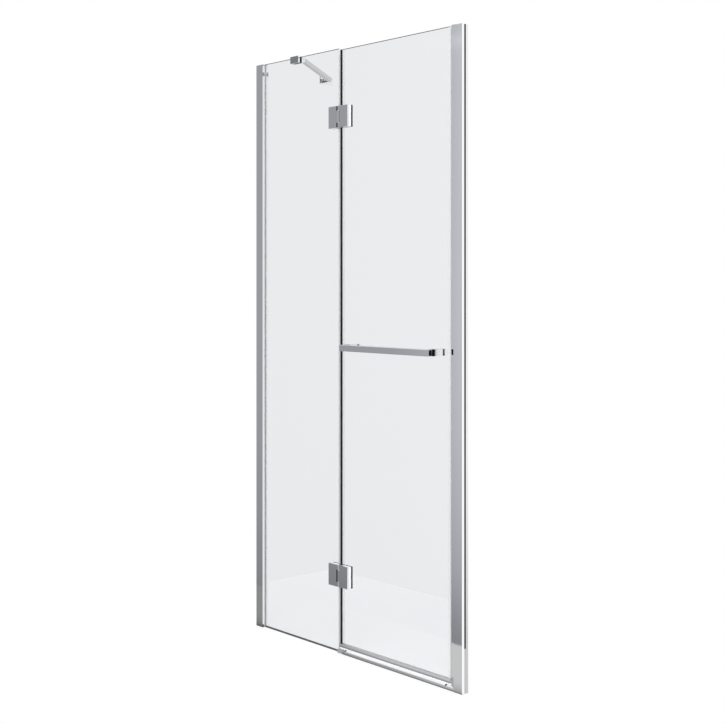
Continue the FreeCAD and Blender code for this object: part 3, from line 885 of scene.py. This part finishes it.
def makeClampScrews():
    top = clampScrew["top"]
    rings = headed(clampScrew, clampScrew["tip"], clampScrew["seat"], top) + hexSocket(top, **clampScrew["socket"])
    for hinge, levels in clampScrew["levels"].items():
        for side, (body, column) in clampScrew["columns"].items():
            spots = [(column, 0, level) for level in levels]
            name, node = f"{hinge}Hinge{side.title()}Screws", f"{hinge}_hinge_{side}_screws"
            addScrews(name, body, "steel", rings, spots, "Y", node)


profileScrew = {
    "pieces": {"leftProfileScrews": ("left_profile_screws", -490, 7.2, 14.7),  # node, column, tip and top
               "strikeProfileScrews": ("strike_profile_screws", 478.5, 8.2, 15.2)},
    "levels": (100, 975, 1848),
    "shank": 1.75,
    "head": 3.5,
    "headHeight": 2.2,
    "point": ((0, 0.5), (0.5, 0)),
    "crown": ((-1.4, 0), (-0.75, 0.25), (-0.25, 0.8), (0, 1.45)),
    "slot": {"mouth": (1.75, 0.5), "base": (1.1, 0.3), "depth": 1.4},
}


def makeProfileScrews():
    for name, (node, column, tip, top) in profileScrew["pieces"].items():
        rings = headed(profileScrew, tip, top - profileScrew["headHeight"], top)
        rings += crossSlot(top, **profileScrew["slot"])
        spots = [(column, 0, level) for level in profileScrew["levels"]]
        addScrews(name, "frame", "steel", rings, spots, "Y", node)


thresholdScrew = {
    "radius": 2.5,
    "top": 10.8,
    "point": ((0, 0.5), (0.5, 0)),
    "crown": ((-0.5, 0), (0, 0.4)),
    "slot": {"mouth": (1.7, 0.5), "base": (1.0, 0.3), "depth": 1.6},
}


def makeThresholdScrews():
    radius, top = thresholdScrew["radius"], thresholdScrew["top"]
    rings = turned(0, radius, thresholdScrew["point"]) + turned(top, radius, thresholdScrew["crown"])
    rings += crossSlot(top, **thresholdScrew["slot"])
    spots = [(x, y, 0) for x, y in threshold["screws"]]
    addScrews("thresholdScrews", "frame", "darkSteel", rings, spots, "Z", "threshold_screws")


grubScrew = {
    "columns": (-298, -278),
    "level": 1940,
    "reach": (4, 11.5),
    "radius": 2.5,
    "point": ((0, 1.0), (0.8, 0.4), (1.2, 0)),
    "crown": ((-0.3, 0), (0, 0.3)),
    "socket": {"flats": 2.5, "mouth": 0.4, "depth": 2.3, "pitDepth": 0.4, "pitRadius": 0.4},
}


def makeGrubScrews():
    start, end = grubScrew["reach"]
    radius = grubScrew["radius"]
    rings = turned(start, radius, grubScrew["point"]) + turned(end, radius, grubScrew["crown"])
    rings += hexSocket(end, **grubScrew["socket"])
    spots = [(column, 0, grubScrew["level"]) for column in grubScrew["columns"]]
    addScrews("stayClampScrews", "frame", "steel", rings, spots, "Y", "stay_clamp_screws")


stayPin = {
    "pieces": {"stayClampPin": ("stay_clamp_pin", (-288, 26.5, 1945)),
               "stayBracketPin": ("stay_bracket_pin", (-478, 302.5, 1930))},
    "half": 7,
    "headHeight": 1.5,
    "shank": 2.5,
    "head": 4.0,
    "point": ((0, 0.4), (0.4, 0)),
    "crown": ((-0.8, 0), (-0.3, 0.35), (0, 1.0)),
    "socket": {"flats": 3.0, "mouth": 0.4, "depth": 1.4, "pitDepth": 0.3, "pitRadius": 0.5},
}


def makeStayPins():
    half = stayPin["half"]
    top = half + stayPin["headHeight"]
    rings = headed(stayPin, -half, half, top) + hexSocket(top, **stayPin["socket"])
    for name, (node, spot) in stayPin["pieces"].items():
        addScrews(name, "frame", "steel", rings, [spot], "Z", node)


def extrude(shape, outline, low, high, axis="Z", material=0):  # an outline in millimetres, along X or Z
    ends = []
    for level in (low, high):
        points = [(level, a, b) if axis == "X" else (a, b, level) for a, b in outline]
        ends.append([shape.verts.new(Vector(point) * mm) for point in points])
    lower, upper = ends
    faces = [shape.faces.new(lower[::-1]), shape.faces.new(upper)]
    for step in range(len(outline)):
        faces.append(shape.faces.new((lower[step - 1], lower[step], upper[step], upper[step - 1])))
    for face in faces:
        face.material_index = material


def mirrored(half):  # an outline from its half at positive Y
    return half + [(x, -y) for x, y in reversed(half)]


sealLeg = {
    "inside": 3.0,  # half the glass
    "outside": 4.0,
    "inner": (0.4, 0.3),  # how its tip is rounded off
    "outer": (0.8, 0.3),
}


def legTip(end, back):  # at positive Y; back is the way to the root, -1 or 1
    low, high = sealLeg["inside"], sealLeg["outside"]
    (innerRun, innerRise), (outerRun, outerRise) = sealLeg["inner"], sealLeg["outer"]
    return [(end + innerRun * back, low), (end, low + innerRise), (end, high - outerRise),
            (end + outerRun * back, high)]


hingeSeal = {
    "stretches": ((30, 211), (283, 1693), (1765, 1945)),
    "doorEdge": -54.2,
    "legEnd": -42.2,
    "coreFrom": -57.0,  # the core is black, and so is the root of the outer leg
    "coreTo": -46.8,
    "coreCorner": 0.6,
    "bulbTip": -65.4,
    "bulbRadius": 2.6,
    "bulbWall": 0.7,
    "bulbSteps": 12,
}


def clearLeg(start, side):  # the clear end of a leg, outside (-1) or inside (1) the shower
    outline = [(start, sealLeg["inside"]), *legTip(hingeSeal["legEnd"], -1), (start, sealLeg["outside"])]
    return [(x, y * side) for x, y in outline]


def halfRound(middle, radius, steps):
    turns = [math.pi / 2 + math.pi * step / steps for step in range(steps + 1)]
    return [(middle + radius * math.cos(turn), radius * math.sin(turn)) for turn in turns]


def makeHingeSeal():
    inside, outside, corner = sealLeg["inside"], sealLeg["outside"], hingeSeal["coreCorner"]
    coreFrom, coreTo, doorEdge = hingeSeal["coreFrom"], hingeSeal["coreTo"], hingeSeal["doorEdge"]
    core = [(coreFrom, corner - outside), (coreFrom + corner, -outside), (coreTo, -outside), (coreTo, -inside),
            (doorEdge, -inside), (doorEdge, outside), (coreFrom + corner, outside), (coreFrom, outside - corner)]
    outer = hingeSeal["bulbRadius"]
    inner = outer - hingeSeal["bulbWall"]
    middle, steps = hingeSeal["bulbTip"] + outer, hingeSeal["bulbSteps"]
    bulb = [(coreFrom, outer), *halfRound(middle, outer, steps), (coreFrom, -outer),
            (coreFrom, -inner), *reversed(halfRound(middle, inner, steps)), (coreFrom, inner)]
    shape = bmesh.new()
    for low, high in hingeSeal["stretches"]:
        extrude(shape, bulb, low, high)
        extrude(shape, clearLeg(coreTo, -1), low, high)
        extrude(shape, clearLeg(doorEdge, 1), low, high)
        extrude(shape, core, low, high, material=1)
    addPiece("hingeEdgeSeal", "door", ["vinyl", "rubber"], shape, "hinge_edge_seal")


magnetSeal = {
    "stretch": (30, 1945),
    "doorEdge": 444,
    "web": 445,
    "legEnd": 434,
    "headFace": 451,
    "headHalf": 5.0,
    "headCorner": 0.5,
    "pocketFloor": 447,
    "pocketHalf": 3.5,
}


def makeMagnetSeal():
    face, wide, corner = magnetSeal["headFace"], magnetSeal["headHalf"], magnetSeal["headCorner"]
    web, pocket = magnetSeal["web"], magnetSeal["pocketHalf"]
    half = [
        (magnetSeal["pocketFloor"], pocket), (face, pocket), (face, wide - corner), (face - corner, wide),
        (web + corner, wide), (web, wide - corner), (web, sealLeg["outside"]),
        *reversed(legTip(magnetSeal["legEnd"], 1)), (magnetSeal["doorEdge"], sealLeg["inside"]),
    ]
    shape = bmesh.new()
    extrude(shape, mirrored(half), *magnetSeal["stretch"])
    addPiece("magnetEdgeSeal", "door", ["vinyl"], shape, "magnet_edge_seal")


sweep = {
    "reach": (-54.2, 444),
    "outline": ((1.0, 19.0), (1.0, 18.6), (3.0, 16.7), (4.9, 14.9), (4.3, 14.8), (2.2, 16.4), (0.4, 17.7),
                (-0.4, 17.7), (-3.8, 16.0), (-7.2, 14.8), (-7.9, 14.95), (-4.4, 16.8), (-1.0, 18.7), (-1.0, 19.0)),
}


def makeSweep():  # two lips splayed from a root, as Y and Z
    shape = bmesh.new()
    extrude(shape, sweep["outline"], *sweep["reach"], axis="X")
    # the lips glow with painted light
    addPiece("sweepLips", "door", ["milkVinyl"], shape, "sweep_blade")


channelPlug = {
    "half": ((473.3, 9.0), (491.2, 9.0), (491.2, 10.8), (495.8, 10.8)),
    "levels": (1937, 1943.4),
    "edge": 0.0006,
}


def makeChannelPlug():  # closes the top of the strike side behind its cap
    shape = bmesh.new()
    extrude(shape, mirrored(list(channelPlug["half"])), *channelPlug["levels"])
    piece = addPiece("channelPlug", "frame", ["plastic"], shape)
    softenEdges(piece, channelPlug["edge"])


makeClampScrews()
makeProfileScrews()
makeThresholdScrews()
makeGrubScrews()
makeStayPins()
makeHingeSeal()
makeMagnetSeal()
makeSweep()
makeChannelPlug()
print("screws and seals made, standing for", len(standIns), "nodes")

dressing = {
    "slots": {
        "glass": "glass",
        "chrome": "chrome",
        "polished_profile": "profile",
        "steel": "steel",
        "dark_rubber": "rubber",
        "pale_rubber": "paleGasket",
        "clear_seal": "vinyl",
        "magnet": "magnet",
        "nylon": "nylon",
        "grey_plastic": "plastic",
    },
    "own": {  # nodes with a finish of their own
        "strike_magnet_carrier": "nylon",
        "handle_bar": "handle",
        "handle_post_left": "post",
        "handle_post_right": "post",
        "stay_clamp": "stayEnd",
        "stay_wall_bracket": "stayEnd",
        "right_wall_channel": "channel",
        "drip_rail": "rail",
        "threshold_bar": "threshold",
        "fixed_glass_base_strip": "greyRubber",
        "handle_washers": "greyRubber",
    },
    # the hinge gaskets glow with painted light
    "hinge": {"back_plate": "backPlate", "leaf": "leaf", "gaskets": "milkVinyl"},
    "edge": {
        "glass": 0.0006,
        "chrome": 0.0008,
        "stayEnd": 0.0008,
        "post": 0.0008,
        "leaf": 0.0008,
        "profile": 0.0008,
        "channel": 0.0008,
        "rail": 0.0008,
        "threshold": 0.0005,
        "backPlate": 0.0005,
        "plastic": 0.0006,
    },
    "gap": 0.00005,  # keeps the hinge gaskets off the glass that they press on
    "shadowless": ("fixed_glass", "door_glass"),
}
for hinge in clampScrew["levels"]:
    for side in clampScrew["columns"]:
        for kind, finish in dressing["hinge"].items():
            dressing["own"][f"{hinge}_hinge_{side}_{kind}"] = finish


def dressNodes():
    for name, piece in nodes.items():
        if name in standIns:
            continue
        slot = piece.data.materials[0].name.split(".")[0]
        finish = dressing["own"].get(name, dressing["slots"][slot])
        piece.data.materials[0] = finishes[finish]
        if finish in dressing["edge"]:
            softenEdges(piece, dressing["edge"][finish])
        if finish == "milkVinyl":
            shrink(piece, dressing["gap"])
    for name in dressing["shadowless"]:
        nodes[name].visible_shadow = False


dressNodes()
print("nodes dressed")
